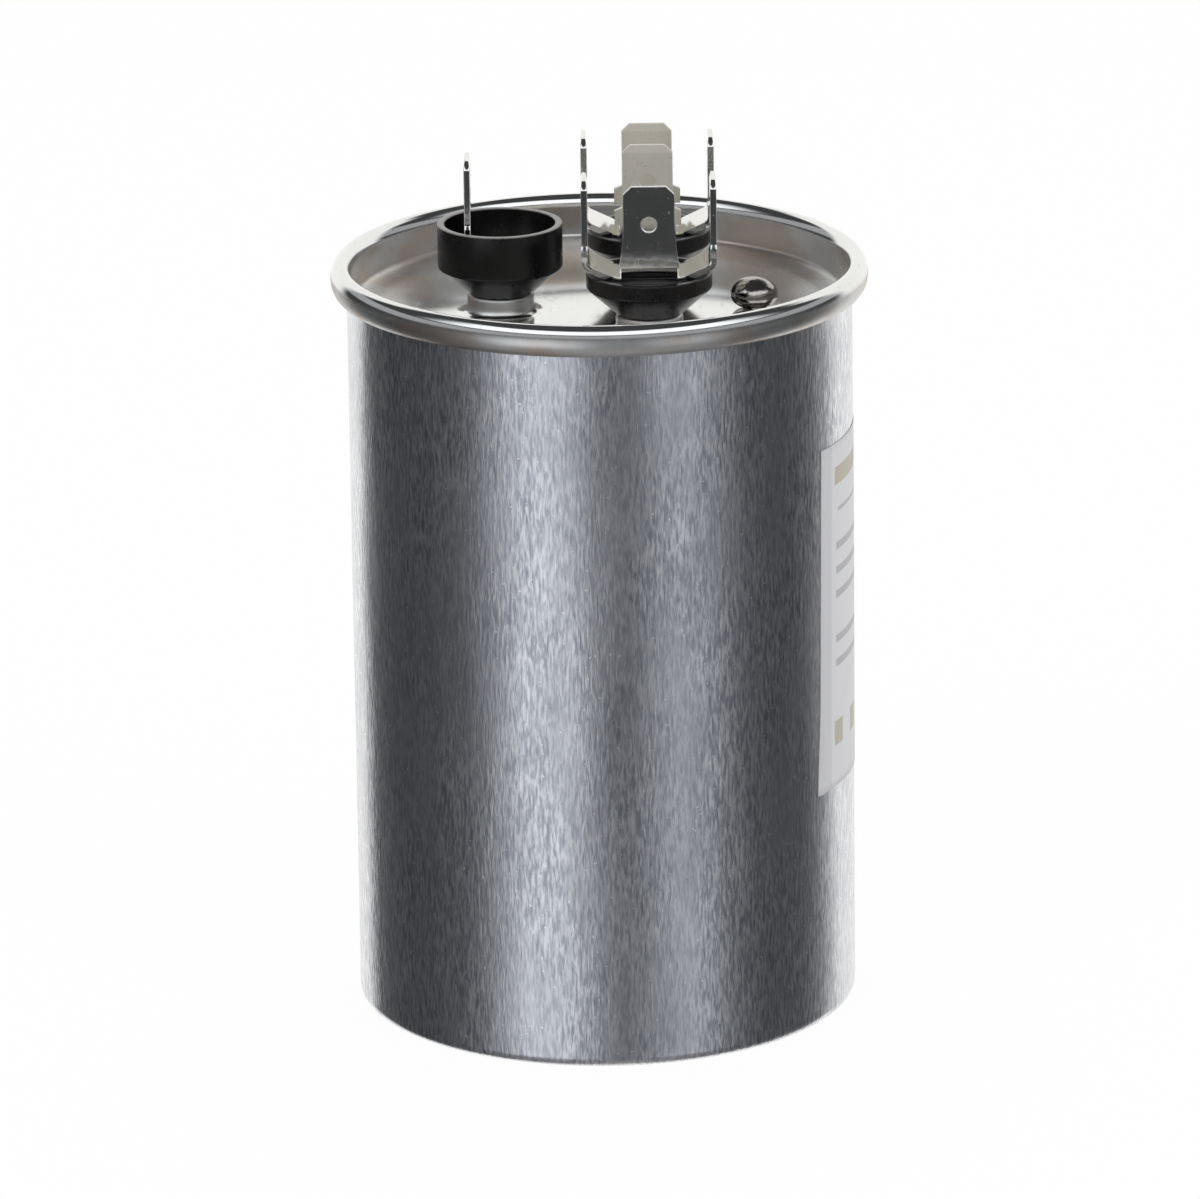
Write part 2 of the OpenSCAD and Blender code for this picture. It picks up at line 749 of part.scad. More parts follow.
module fan_cup() { at_terminal(FAN) cup(tall_cup_h, fan_seat_z); }
module compressor_cup() { at_terminal(COMPRESSOR) cup(short_cup_h, short_seat_z); }
module common_cup() { at_terminal(COMMON) cup(short_cup_h, short_seat_z); }
module fan_seal() { at_terminal(FAN) seal(); }
module compressor_seal() { at_terminal(COMPRESSOR) seal(); }
module common_seal() { at_terminal(COMMON) seal(); }
module fan_bushing() { at_terminal(FAN) bushing(); }
module compressor_bushing() { at_terminal(COMPRESSOR) bushing(); }
module common_bushing() { at_terminal(COMMON) bushing(); }
module fan_lug() { at_terminal(FAN) lug(0); }
module compressor_lug() { at_terminal(COMPRESSOR) lug(0); }
module common_lug() { at_terminal(COMMON) lug(180); }
module fan_post() { at_terminal(FAN) post(fan_seat_z + tab_t); }
module compressor_post() { at_terminal(COMPRESSOR) post(second_seat_z + tab_t); }
module common_post() { at_terminal(COMMON) post(second_seat_z + tab_t); }
module compressor_side_tabs() { upright_at(COMPRESSOR) side_tabs(); }
module common_side_tabs() { upright_at(COMMON) side_tabs(); }

can();
lid();
seam_gasket();
fill_plug();
label();
fan_cup();
compressor_cup();
common_cup();
fan_seal();
compressor_seal();
common_seal();
fan_bushing();
compressor_bushing();
common_bushing();
fan_lug();
compressor_lug();
common_lug();
fan_post();
compressor_post();
common_post();
fan_tab();
compressor_side_tabs();
compressor_front_tab();
common_side_tabs();
common_facing_tabs();
fan_lead();
compressor_lead();
common_lead();
spacer_disc();
compressor_end_spray();
fan_end_spray();
compressor_winding();
section_wrap();
fan_winding();
outer_wrap();
core_tube();
common_end_spray();
can_liner();
bottom_pad();
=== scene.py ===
# %% [markdown]
# # A dual motor run capacitor
#
# The real thing is a round can drawn from aluminium, a tinplate lid that is rolled
# into the can's rim, three black insulators with folded quick-connect tabs on them,
# a bead of solder over the fill hole, and a wrapped paper label. Most pieces inside
# stay as the CAD solids that the frame brings. Here every outer piece is made again
# with round edges and smooth curves, because a glossy metal shows each flat facet.
#
# Lengths are metres in Blender, so sizes are written as numbers times `MM`.

# %% Load the frame
import math

import bmesh
import bpy
from mathutils import Matrix, Vector, noise


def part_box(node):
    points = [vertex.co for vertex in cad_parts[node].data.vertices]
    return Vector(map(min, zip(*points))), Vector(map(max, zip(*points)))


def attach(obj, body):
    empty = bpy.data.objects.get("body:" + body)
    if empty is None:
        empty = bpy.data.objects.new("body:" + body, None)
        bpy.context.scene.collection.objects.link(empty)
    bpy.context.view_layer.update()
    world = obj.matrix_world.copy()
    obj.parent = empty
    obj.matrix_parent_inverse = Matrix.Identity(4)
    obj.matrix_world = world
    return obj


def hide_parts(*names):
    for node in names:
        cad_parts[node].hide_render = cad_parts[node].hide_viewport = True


MM = 0.001
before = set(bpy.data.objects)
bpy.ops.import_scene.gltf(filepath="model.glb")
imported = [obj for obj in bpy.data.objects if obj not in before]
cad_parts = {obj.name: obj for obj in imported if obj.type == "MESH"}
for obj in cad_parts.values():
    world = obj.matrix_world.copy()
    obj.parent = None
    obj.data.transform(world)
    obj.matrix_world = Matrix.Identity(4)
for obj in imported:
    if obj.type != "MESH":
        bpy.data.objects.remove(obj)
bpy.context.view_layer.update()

# %% [markdown]
# ## Sizes from the frame
#
# The places of the pieces come from the boxes of the CAD nodes, so the dressing
# follows the frame. A terminal's axis is the middle of its cup's box, and the height
# of a plate is the bottom of its bracket's box.

# %% Measure the nodes
def middle_of(node):
    """Axis of an upright piece, at height zero."""
    low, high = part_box(node)
    return Vector(((low.x + high.x) / 2, (low.y + high.y) / 2, 0))


def radius_of(node):
    low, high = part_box(node)
    return (high.x - low.x) / 2


AXIS = Vector((0, 0, 0))
RIM_R = radius_of("lid")
RIM_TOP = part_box("lid")[1].z
SEAM_R = 2.0 * MM
SEAM_Z = RIM_TOP - SEAM_R
WALL_R = 31.75 * MM
TIP_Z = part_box("compressor_side_tabs")[1].z
PANEL_DROP = 6.7 * MM
PANEL_Z = RIM_TOP - PANEL_DROP
SHEET = 0.8 * MM
print("in mm, rim radius, panel and tips:", [round(v / MM, 2) for v in (RIM_R, PANEL_Z, TIP_Z)])

# %% [markdown]
# ## Camera
#
# The capacitor is seen from a little above the rim and from far away, through a long
# lens, so the can's two sides look almost parallel. The camera is also rolled by a
# fraction of a degree, as a hand-placed one often is.

# %% Place the camera
VIEW_HEIGHT = math.radians(17.14)
VIEW_DISTANCE = 1154 * MM
VIEW_ROLL = math.radians(-0.72)
LENS = 272.7

scene = bpy.context.scene
view_from = Vector((0, -math.cos(VIEW_HEIGHT), math.sin(VIEW_HEIGHT)))
camera_data = bpy.data.cameras.new("camera")
camera_data.sensor_width = 36
camera_data.lens = LENS
camera_data.clip_start = 0.05
camera_data.clip_end = 50
camera = bpy.data.objects.new("camera", camera_data)
camera.location = Vector((0, 0, 50 * MM)) + view_from * VIEW_DISTANCE
aim = Vector((-0.42, 0.51, 51.65)) * MM
facing = (aim - camera.location).to_track_quat("-Z", "Y").to_matrix().to_4x4()
camera.rotation_euler = (facing @ Matrix.Rotation(VIEW_ROLL, 4, "Z")).to_euler()
scene.collection.objects.link(camera)
scene.camera = camera
scene.view_settings.view_transform = "Standard"
print("camera at", [round(v / MM) for v in camera.location])

# %% [markdown]
# ## Writing shader maths as Python
#
# A node tree is easier to read as formulas. `Value` wraps one socket, and adding or
# multiplying values adds the Math nodes. `Finish` owns a node tree, and its `node`
# method makes any other node from a type, its settings and its inputs.

# %% A socket that can be calculated with
class Value:
    def __init__(self, finish, socket):
        self.finish = finish
        self.socket = socket

    def maths(self, operation, *others):
        return self.finish.node("ShaderNodeMath", {"operation": operation}, dict(enumerate(others)))

    def __add__(self, other):
        return self.maths("ADD", self, other)

    def __sub__(self, other):
        return self.maths("SUBTRACT", self, other)

    def __rsub__(self, other):
        return self.maths("SUBTRACT", other, self)

    def __mul__(self, other):
        return self.maths("MULTIPLY", self, other)

    def __abs__(self):
        return self.maths("ABSOLUTE", self)

    __radd__ = __add__
    __rmul__ = __mul__

    def larger(self, other):
        return self.maths("MAXIMUM", self, other)

    def step(self, low, high):
        """0 below low and 1 above high, with a smooth climb between them."""
        inputs = {"Value": self, "From Min": low, "From Max": high}
        return self.finish.node("ShaderNodeMapRange", {"interpolation_type": "SMOOTHSTEP"}, inputs)

    def inside(self, low, high, soft):
        """1 between low and high, fading out over soft."""
        return self.step(low - soft, low) * (1 - self.step(high, high + soft))


# %% A node tree that is written as formulas
class Finish:
    def __init__(self, name, tree_owner=None, **constants):
        self.owner = tree_owner or bpy.data.materials.new(name)
        self.owner.use_nodes = True
        self.tree = self.owner.node_tree
        self.tree.nodes.clear()
        self.position = None
        if tree_owner is None:
            self.shader = self.tree.nodes.new("ShaderNodeBsdfPrincipled")
            output = self.tree.nodes.new("ShaderNodeOutputMaterial")
            self.tree.links.new(self.shader.outputs[0], output.inputs[0])
            for socket_name, value in constants.items():
                self.shader.inputs[socket_name.replace("_", " ")].default_value = value

    def connect(self, socket, value):
        if isinstance(value, Value):
            self.tree.links.new(value.socket, socket)
        elif isinstance(value, (tuple, list)) and len(value) == 3 and socket.type == "RGBA":
            socket.default_value = (*value, 1)
        else:
            socket.default_value = value

    def node(self, kind, settings=None, inputs=None, output=0):
        made = self.tree.nodes.new(kind)
        for name, value in (settings or {}).items():
            setattr(made, name, value)
        for name, value in (inputs or {}).items():
            self.connect(made.inputs[name], value)
        return Value(self, made.outputs[output])

    def set(self, socket_name, value):
        self.connect(self.shader.inputs[socket_name], value)

    def mix(self, share, first, second):
        """Colour between two colours."""
        return self.node("ShaderNodeMix", {"data_type": "RGBA"}, {0: share, 6: first, 7: second}, output=2)

    def place(self):
        """Object coordinates, in metres."""
        if self.position is None:
            self.position = self.node("ShaderNodeTexCoord", output="Object")
        return self.position

    def axes(self, vector=None):
        """The x, y and z of a vector as three values."""
        split = self.node("ShaderNodeSeparateXYZ", inputs={0: vector or self.place()}).socket.node
        return [Value(self, socket) for socket in split.outputs]

    def stretched(self, stretch, turn=(0, 0, 0), shift=(0, 0, 0)):
        inputs = {"Vector": self.place(), "Scale": stretch, "Rotation": turn, "Location": shift}
        return self.node("ShaderNodeMapping", inputs=inputs)

    def grain(self, size, stretch=(1, 1, 1), detail=3, rough=0.5, turn=(0, 0, 0), shift=(0, 0, 0), twist=0):
        """Cloudy noise around 0.5, with blotches of the given size in metres."""
        inputs = {
            "Vector": self.stretched(stretch, turn, shift), "Scale": 1 / size,
            "Detail": detail, "Roughness": rough, "Distortion": twist,
        }
        return self.node("ShaderNodeTexNoise", inputs=inputs)

    def bump(self, height, depth, below=None):
        """Normal of a surface whose height runs from 0 to 1 over the given depth."""
        inputs = {"Height": height, "Distance": depth, "Strength": 1}
        if below is not None:
            inputs["Normal"] = below
        return self.node("ShaderNodeBump", inputs=inputs)


print("shader helpers ready")

# %% [markdown]
# ## Studio
#
# Bright metal has hardly any colour of its own: it shows the room. So the room matters
# more than the paint. A white sweep stands behind the can and gives its white edges. The
# rest of the room is nearly black, with two windows in front, a softbox above them, a
# grey wall band and a pale table. Each is a band of compass direction, of height, or of
# both. Only reflections see this room. The camera sees plain white, and all other rays
# see one even grey.

# %% Light the world
def studio_world():
    world = bpy.data.worlds.new("studio")
    room = Finish("studio", tree_owner=world)
    direction = room.node("ShaderNodeTexCoord", output="Generated")
    x, y, z = room.axes(direction)
    compass = x.maths("ARCTAN2", x, y * -1) * (180 / math.pi)
    sweep = ((compass * -1).step(134, 144) + compass.step(118, 129)) * (1 - z.step(0.64, 0.74))
    left_window = compass.inside(-43, -14, 7) * 1.15
    right_window = compass.inside(27, 48, 7) * 0.70
    windows = (left_window + right_window) * z.inside(-0.55, -0.12, 0.12)
    front = 1 - abs(compass).step(60, 100)
    softbox = z.inside(0.54, 0.80, 0.06) * front * 1.3
    wall = z.inside(0.18, 0.42, 0.05) * 0.34
    table = (z * -1).step(0.62, 0.80) * front * 0.25
    level = sweep + (1 - sweep) * (windows.larger(softbox).larger(table).larger(wall) + 0.055)
    cool = room.mix(table * 2, (0.93, 0.96, 1.0), (1.0, 0.93, 0.85))
    tint = room.mix(sweep, cool, (1.0, 1.0, 0.98))
    path = room.node("ShaderNodeLightPath").socket.node
    seen = Value(room, path.outputs["Is Camera Ray"])
    mirrored = Value(room, path.outputs["Is Glossy Ray"])
    strength = seen + (1 - seen) * (mirrored * level + (1 - mirrored) * 0.62)
    colour = room.mix(mirrored, (1.0, 1.0, 1.0), tint)
    background = room.node("ShaderNodeBackground", inputs={"Color": colour, "Strength": strength})
    output = room.tree.nodes.new("ShaderNodeOutputWorld")
    room.tree.links.new(background.socket, output.inputs[0])
    scene.world = world
    print("studio world with", len(room.tree.nodes), "nodes")


studio_world()

# %% [markdown]
# The floor is white paper. For the camera it is mostly a plain white glow, and the
# rest is real white that the lamps light, which leaves a faint shadow under the can.

# %% Lay the floor and hang the lamps
def paper_floor():
    mesh = bmesh.new()
    bmesh.ops.create_grid(mesh, x_segments=8, y_segments=8, size=6)
    data = bpy.data.meshes.new("paper_floor")
    mesh.to_mesh(data)
    mesh.free()
    floor = bpy.data.objects.new("paper_floor", data)
    scene.collection.objects.link(floor)
    paper = Finish("floor_paper", Roughness=0.9)
    paper.set("Base Color", paper.mix(paper.grain(4 * MM), (0.84, 0.84, 0.84), (0.88, 0.88, 0.88)))
    glow = paper.node("ShaderNodeEmission", inputs={"Color": (1, 1, 1), "Strength": 1})
    path = paper.node("ShaderNodeLightPath").socket.node
    seen = Value(paper, path.outputs["Is Camera Ray"]) * 0.97
    lit = Value(paper, paper.shader.outputs[0])
    blend = paper.node("ShaderNodeMixShader", inputs={0: seen, 1: lit, 2: glow})
    output = next(n for n in paper.tree.nodes if n.type == "OUTPUT_MATERIAL")
    paper.tree.links.new(blend.socket, output.inputs[0])
    data.materials.append(paper.owner)
    floor.visible_glossy = False


def soft_lamp(name, place, width, height, power):
    lamp_data = bpy.data.lights.new(name, "AREA")
    lamp_data.shape = "RECTANGLE"
    lamp_data.size = width
    lamp_data.size_y = height
    lamp_data.energy = power
    lamp = bpy.data.objects.new(name, lamp_data)
    lamp.location = place
    target = Vector((0, 0, 70 * MM))
    lamp.rotation_euler = (target - lamp.location).to_track_quat("-Z", "Y").to_euler()
    lamp.visible_glossy = False
    scene.collection.objects.link(lamp)
    return lamp


paper_floor()
soft_lamp("key_lamp", Vector((-0.55, -0.75, 0.85)), 0.5, 0.35, 3.0)
soft_lamp("fill_lamp", Vector((0.75, -0.7, 0.55)), 0.35, 0.5, 2.0)
soft_lamp("top_lamp", Vector((0.1, 0.5, 1.0)), 0.7, 0.4, 2.5)
print("floor and lamps placed")

# %% [markdown]
# ## Turned pieces
#
# The can, the lid, the cups and the posts are round, so each one is a half section
# that is spun about its axis. `arc` gives the points of a round stretch of a section.
# After a spin the doubles on the axis are merged and the normals are worked out anew.

# %% Section and spin helpers
def arc(centre, radius, start, end, steps):
    """Points round a centre (r, z), from one angle to another, in degrees."""
    angles = [math.radians(start + (end - start) * i / steps) for i in range(steps + 1)]
    return [(centre[0] + radius * math.cos(a), centre[1] + radius * math.sin(a)) for a in angles]


def spin_section(mesh, section, axis, steps, closed=True):
    """Spins (r, z) points round an upright axis."""
    corners = [mesh.verts.new((axis.x + r, axis.y, z)) for r, z in section]
    pairs = list(zip(corners, corners[1:])) + ([(corners[-1], corners[0])] if closed else [])
    edges = [mesh.edges.new(pair) for pair in pairs]
    bmesh.ops.spin(
        mesh, geom=corners + edges, cent=axis, axis=(0, 0, 1), dvec=(0, 0, 0),
        angle=2 * math.pi, steps=steps, use_merge=True, use_duplicate=False,
    )
    bmesh.ops.remove_doubles(mesh, verts=mesh.verts, dist=0.002 * MM)
    bmesh.ops.recalc_face_normals(mesh, faces=mesh.faces)


def round_edges(mesh, width, over=40, segments=3):
    """Bevels the edges whose faces turn by more than an angle in degrees."""
    limit = math.radians(over)
    sharp = [e for e in mesh.edges if len(e.link_faces) == 2 and e.calc_face_angle() > limit]
    bmesh.ops.bevel(
        mesh, geom=sharp, offset=width, offset_type="OFFSET", affect="EDGES",
        segments=segments, profile=0.5, material=-1, clamp_overlap=True,
    )


def piece(name, mesh, finish, nodes, sharp=50, weighted=True, flat=()):
    """Turns a bmesh into a finished piece that stands for CAD nodes."""
    mesh.normal_update()
    for face in mesh.faces:
        face.smooth = True
    for face in flat:
        face.smooth = False
    for edge in mesh.edges:
        edge.smooth = not edge.is_manifold or edge.calc_face_angle() < math.radians(sharp)
    data = bpy.data.meshes.new(name)
    mesh.to_mesh(data)
    mesh.free()
    data.materials.append(finish.owner)
    made = bpy.data.objects.new(name, data)
    scene.collection.objects.link(made)
    if weighted:
        normals = made.modifiers.new("weighted_normals", "WEIGHTED_NORMAL")
        normals.keep_sharp = True
    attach(made, "root")
    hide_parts(*nodes)
    print(name, "has", len(data.polygons), "faces")
    return made


# %% [markdown]
# ## Drawn aluminium
#
# The can is pushed through a die, which leaves short marks along its height: thousands
# of fine dark and light strokes, in patches. Noise that is stretched a lot along Z gives
# the strokes, and a slower noise decides where they are strong. The strokes change the
# colour and, through a bump, the surface itself. Slower noises vary the roughness and
# dent the wall, and a sparse one adds white specks, which are painted glints. Seen at a
# slant, the wall looks glossier.

# %% Finish of the can
def drawn_aluminium():
    metal = Finish("drawn_aluminium", Metallic=1.0)
    strokes = metal.grain(0.33 * MM, (1, 1, 0.17), detail=2, rough=0.6, twist=0.3)
    dashes = metal.grain(0.42 * MM, (1, 1, 0.16), detail=1, shift=(0.2, 0.1, 0.05))
    bands = metal.grain(3 * MM, (1, 1, 0.14), detail=3)
    clouds = metal.grain(5 * MM, (1, 1, 0.45), detail=3, shift=(0.3, 0.1, 0.1))
    patches = metal.grain(8 * MM, (1, 1, 0.35), detail=3, shift=(0.1, 0.03, 0.2))
    # Sparse white specks in the can's colour are painted glints.
    dust_and_glint_specks = metal.grain(0.5 * MM, detail=0, shift=(0.3, 0.2, 0.1)).step(0.80, 0.84)
    strong = 0.45 + patches.step(0.38, 0.60) * 0.55
    brushed = 0.5 + (strokes.step(0.28, 0.72) - 0.5) * strong * 1.3
    dark = dashes.step(0.57, 0.68) * strong
    strokes_and_rim_highlight = metal.mix(brushed, (0.46, 0.47, 0.52), (0.93, 0.93, 0.95))
    shaded = metal.mix(clouds.step(0.35, 0.65) * 0.25, strokes_and_rim_highlight, (0.50, 0.51, 0.56))
    struck = metal.mix(dark * 0.45, shaded, (0.30, 0.31, 0.37))
    metal.set("Base Color", metal.mix(dust_and_glint_specks, struck, (1.0, 1.0, 1.0)))
    facing = metal.node("ShaderNodeLayerWeight", inputs={"Blend": 0.5}, output="Facing")
    even = 0.37 - facing.step(0.50, 0.75) * 0.20
    metal.set("Roughness", even + (bands - 0.5) * 0.12 + (clouds - 0.5) * 0.08)
    dents = metal.grain(10 * MM, (1, 1, 0.5), detail=2)
    normal = metal.bump(dents, 0.16 * MM)
    metal.set("Normal", metal.bump(strokes, 0.03 * MM, below=normal))
    return metal


# %% Turn the can
HEEL_R = 1.5 * MM
WALL_T = 0.5 * MM
FLOOR_T = 0.7 * MM
NECK_Z = SEAM_Z - 1.6 * MM
CAN_EDGE_Z = SEAM_Z + 0.4 * MM
FLARE = 0.5 * MM


def can_section():
    heel_in = HEEL_R - WALL_T
    inner_r = WALL_R - WALL_T
    outer = [(0, 0), (12 * MM, 0), (24 * MM, 0)] + arc((WALL_R - HEEL_R, HEEL_R), HEEL_R, -90, 0, 10)
    heights = [SEAM_Z * share for share in (0.25, 0.5, 0.75, 0.93)]
    wall = [(WALL_R, z) for z in heights] + [(WALL_R, NECK_Z), (WALL_R + FLARE, CAN_EDGE_Z)]
    wall += [(inner_r + FLARE, CAN_EDGE_Z), (inner_r, NECK_Z)]
    inner = arc((inner_r - heel_in, FLOOR_T + heel_in), heel_in, 0, -90, 8) + [(0, FLOOR_T)]
    return outer + wall + inner


def make_can():
    mesh = bmesh.new()
    spin_section(mesh, can_section(), AXIS, steps=192)
    return piece("can_body", mesh, drawn_aluminium(), ["can"])


make_can()

# %% [markdown]
# ## Lid and rolled rim
#
# The lid is one sheet of tinplate. From the outside in, it curls over the can's edge,
# drops down inside, turns through a wide fillet into a shallow dish and becomes the flat
# panel, and the panel rises again into a boss at each terminal. The rim and the three
# bosses are open sections that are spun, the flat panel between them is filled with
# triangles, and a Solidify modifier gives the sheet its thickness. Each ring ends in a
# narrow flat band, so that the smooth shading of a curve doesn't run out over the panel.

# %% Finish of the lid
def tinplate():
    tin = Finish("tinplate", Metallic=1.0)
    cloud = tin.grain(14 * MM, detail=1)
    haze = tin.grain(2.5 * MM, detail=3)
    # Slow blotches that place a painted warm reflection on the recess wall.
    warm_reflection_blotches = tin.grain(9 * MM, (1, 1, 1.6), detail=2, shift=(0.05, 0.2, 0.1))
    scuffs = tin.grain(0.7 * MM, (1, 0.25, 1), detail=3, turn=(0, 0, 0.6)).step(0.60, 0.72)
    x, y, z = tin.axes()
    recess = z.inside(PANEL_Z + 0.8 * MM, RIM_TOP - 1.8 * MM, 0.8 * MM)
    radius = x.maths("SQRT", x * x + y * y)
    low_down = 1 - z.step(PANEL_Z, PANEL_Z + 2 * MM)
    drawn = radius.inside(RECESS_R - 3.4 * MM, RECESS_R - 0.8 * MM, 0.6 * MM) * low_down
    plain = tin.mix(haze, (0.77, 0.768, 0.75), (0.85, 0.848, 0.835))
    # On the recess wall the tin turns warm brown and a little darker in blotches: a painted reflection of a
    # warm thing in the studio.
    tin_with_warm_reflection = tin.mix(warm_reflection_blotches.step(0.42, 0.62) * recess * 0.8, plain, (0.70, 0.60, 0.53))
    tin.set("Base Color", tin.mix(scuffs * 0.22, tin_with_warm_reflection, (0.55, 0.54, 0.52)))
    tin.set("Roughness", 0.07 + haze * 0.05 + scuffs * 0.05 + recess * 0.30 + drawn * 0.10)
    tin.set("Normal", tin.bump(cloud, 0.05 * MM))
    return tin


# %% Roll the lid
LID_T = 0.45 * MM
SEAM_GAP = 0.125 * MM
ROLL_HALF = 1.35 * MM
ROLL_R = RIM_R - ROLL_HALF
RECESS_R = ROLL_R - ROLL_HALF
TIN_T = 0.2 * MM
FILLET_W = 3.0 * MM
FILLET_H = 1.2 * MM
DISH_R = 19.5 * MM
DISH_H = 0.6 * MM
BOSS_R = 4.2 * MM
BOSS_H = 2.5 * MM
BOSS_FLARE = 1.2 * MM
BOSS_ROUND = 0.6 * MM
NECK_R = 2.95 * MM
BAND = 0.35 * MM
TERMINALS = {name: middle_of(name + "_cup") for name in ("fan", "compressor", "common")}


def rim_section():
    """From the tuck against the can, over the roll, down the recess, to the panel."""
    roll = [
        (ROLL_R + ROLL_HALF * r, SEAM_Z + SEAM_R * z) for r, z in arc((0, 0), 1, -78, 180, 36)
    ]
    tuck_r = WALL_R + SEAM_GAP
    low_r, low_z = roll[0]
    tuck = [(tuck_r, low_z + 0.9 * MM), (tuck_r, low_z + 0.25 * MM)]
    tuck.append(((tuck_r + low_r) / 2, low_z - 0.05 * MM))
    start_r = RECESS_R - FILLET_W
    start_z = PANEL_Z + DISH_H
    quarter = arc((0, 0), 1, 0, -80, 14)
    fillet = [(start_r + FILLET_W * r, start_z + FILLET_H * (1 + z)) for r, z in quarter]
    rings = [1 - i / 5 for i in range(6)]
    dish = [(DISH_R + (start_r - DISH_R) * t, PANEL_Z + DISH_H * t * t) for t in rings]
    return tuck + roll + fillet + dish + [(DISH_R - BAND, PANEL_Z)]


def boss_section():
    foot = [(BOSS_R + BOSS_FLARE + BAND, PANEL_Z)]
    flare = arc((BOSS_R + BOSS_FLARE, PANEL_Z + BOSS_FLARE), BOSS_FLARE, 270, 180, 6)
    top = arc((BOSS_R - BOSS_ROUND, PANEL_Z + BOSS_H - BOSS_ROUND), BOSS_ROUND, 0, 90, 5)
    return foot + flare + top + [(NECK_R, PANEL_Z + BOSS_H)]


def make_lid():
    mesh = bmesh.new()
    spin_section(mesh, rim_section(), AXIS, steps=192, closed=False)
    for axis in TERMINALS.values():
        spin_section(mesh, boss_section(), axis, steps=64, closed=False)
    open_edges = [e for e in mesh.edges if e.is_boundary]
    flat = [e for e in open_edges if all(abs(v.co.z - PANEL_Z) < 0.01 * MM for v in e.verts)]
    bmesh.ops.triangle_fill(mesh, use_beauty=True, use_dissolve=False, edges=flat, normal=(0, 0, 1))
    bmesh.ops.recalc_face_normals(mesh, faces=mesh.faces)
    panel = max(mesh.faces, key=lambda f: f.calc_area())
    if panel.normal.z < 0:
        bmesh.ops.reverse_faces(mesh, faces=mesh.faces)
    lid = piece("lid_sheet", mesh, tinplate(), ["lid"], weighted=False)
    thicken = lid.modifiers.new("thickness", "SOLIDIFY")
    thicken.thickness = TIN_T
    thicken.offset = -1
    normals = lid.modifiers.new("weighted_normals", "WEIGHTED_NORMAL")
    normals.keep_sharp = True
    return lid


make_lid()

# %% [markdown]
# ## Insulator cups
#
# Each terminal sits in a cup moulded from black phenolic resin. The fan's cup is tall
# and deep, because its single tab stands down inside it, and the other two are short
# and are filled by the plates of their brackets. A cup is one closed section, and its
# corners are bevelled after the spin, since a mould has no knife edges.

# %% Finish of the cups
def black_resin():
    resin = Finish("black_resin", Metallic=0.0)
    mottle = resin.grain(2.2 * MM, detail=4, rough=0.6)
    dust_and_glint_specks = resin.grain(0.35 * MM, detail=2).step(0.62, 0.74)
    colour = resin.mix(mottle, (0.004, 0.004, 0.004), (0.010, 0.009, 0.009))
    z = resin.axes()[2]
    tall_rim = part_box("fan_cup")[1].z
    # The top of the fan cup's rim is painted pale grey: a painted highlight on the face that looks up.
    strokes_and_rim_highlight = z.step(tall_rim - 0.16 * MM, tall_rim - 0.02 * MM) * (0.35 + mottle * 0.6)
    dusty = resin.mix(dust_and_glint_specks * 0.2, colour, (0.05, 0.048, 0.045))
    resin.set("Base Color", resin.mix(strokes_and_rim_highlight, dusty, (0.30, 0.295, 0.285)))
    resin.set("Roughness", 0.22 + mottle * 0.14 + dust_and_glint_specks * 0.12)
    resin.set("Normal", resin.bump(mottle, 0.03 * MM))
    return resin


# %% Mould the cups
CUP_R = 7.85 * MM
CUP_WALL = 0.9 * MM
CUP_FOOT_R = 4.13 * MM
CUP_FLOOR_T = 1.05 * MM
CUP_BORE_R = 1.65 * MM
CONE_H = 3.3 * MM
MOULD_EDGE = 0.18 * MM
BOSS_TOP = PANEL_Z + BOSS_H
CUP_RESIN = black_resin()


def cup_section(rim_z, floor_z):
    inner_r = CUP_R - CUP_WALL
    spread = CUP_FOOT_R + (CUP_R - CUP_FOOT_R) * (floor_z - BOSS_TOP) / CONE_H - CUP_FLOOR_T
    floor_r = min(inner_r, spread)
    below = BOSS_TOP - LID_T - 0.6 * MM
    section = [
        (CUP_BORE_R, below), (NECK_R - 0.05 * MM, below), (NECK_R - 0.05 * MM, BOSS_TOP),
        (CUP_FOOT_R, BOSS_TOP), (CUP_R, BOSS_TOP + CONE_H), (CUP_R, rim_z), (inner_r, rim_z),
    ]
    if floor_r < inner_r - 0.1 * MM:
        section.append((inner_r, floor_z + inner_r - floor_r))
    return section + [(floor_r, floor_z), (CUP_BORE_R, floor_z)]


def make_cup(terminal, floor_z):
    node = terminal + "_cup"
    mesh = bmesh.new()
    spin_section(mesh, cup_section(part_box(node)[1].z, floor_z), TERMINALS[terminal], steps=96)
    round_edges(mesh, MOULD_EDGE, over=30)
    return piece(node + "_moulding", mesh, CUP_RESIN, [node], sharp=60)


SEATS = {
    "fan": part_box("fan_tab")[0].z,
    "compressor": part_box("compressor_side_tabs")[0].z,
    "common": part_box("common_side_tabs")[0].z,
}
for terminal_name, seat_z in SEATS.items():
    make_cup(terminal_name, seat_z)

# %% [markdown]
# ## Folded quick-connect tabs
#
# A bracket is punched flat from plated strip and then folded, and it is made the same
# way here. The flat blank is an outline with its holes, filled, given its thickness and
# bevelled. Then every point moves to its place on the folded path: `s` runs along the
# sheet and `h` up through its thickness. A blank with two arms is folded on both sides
# of its middle.

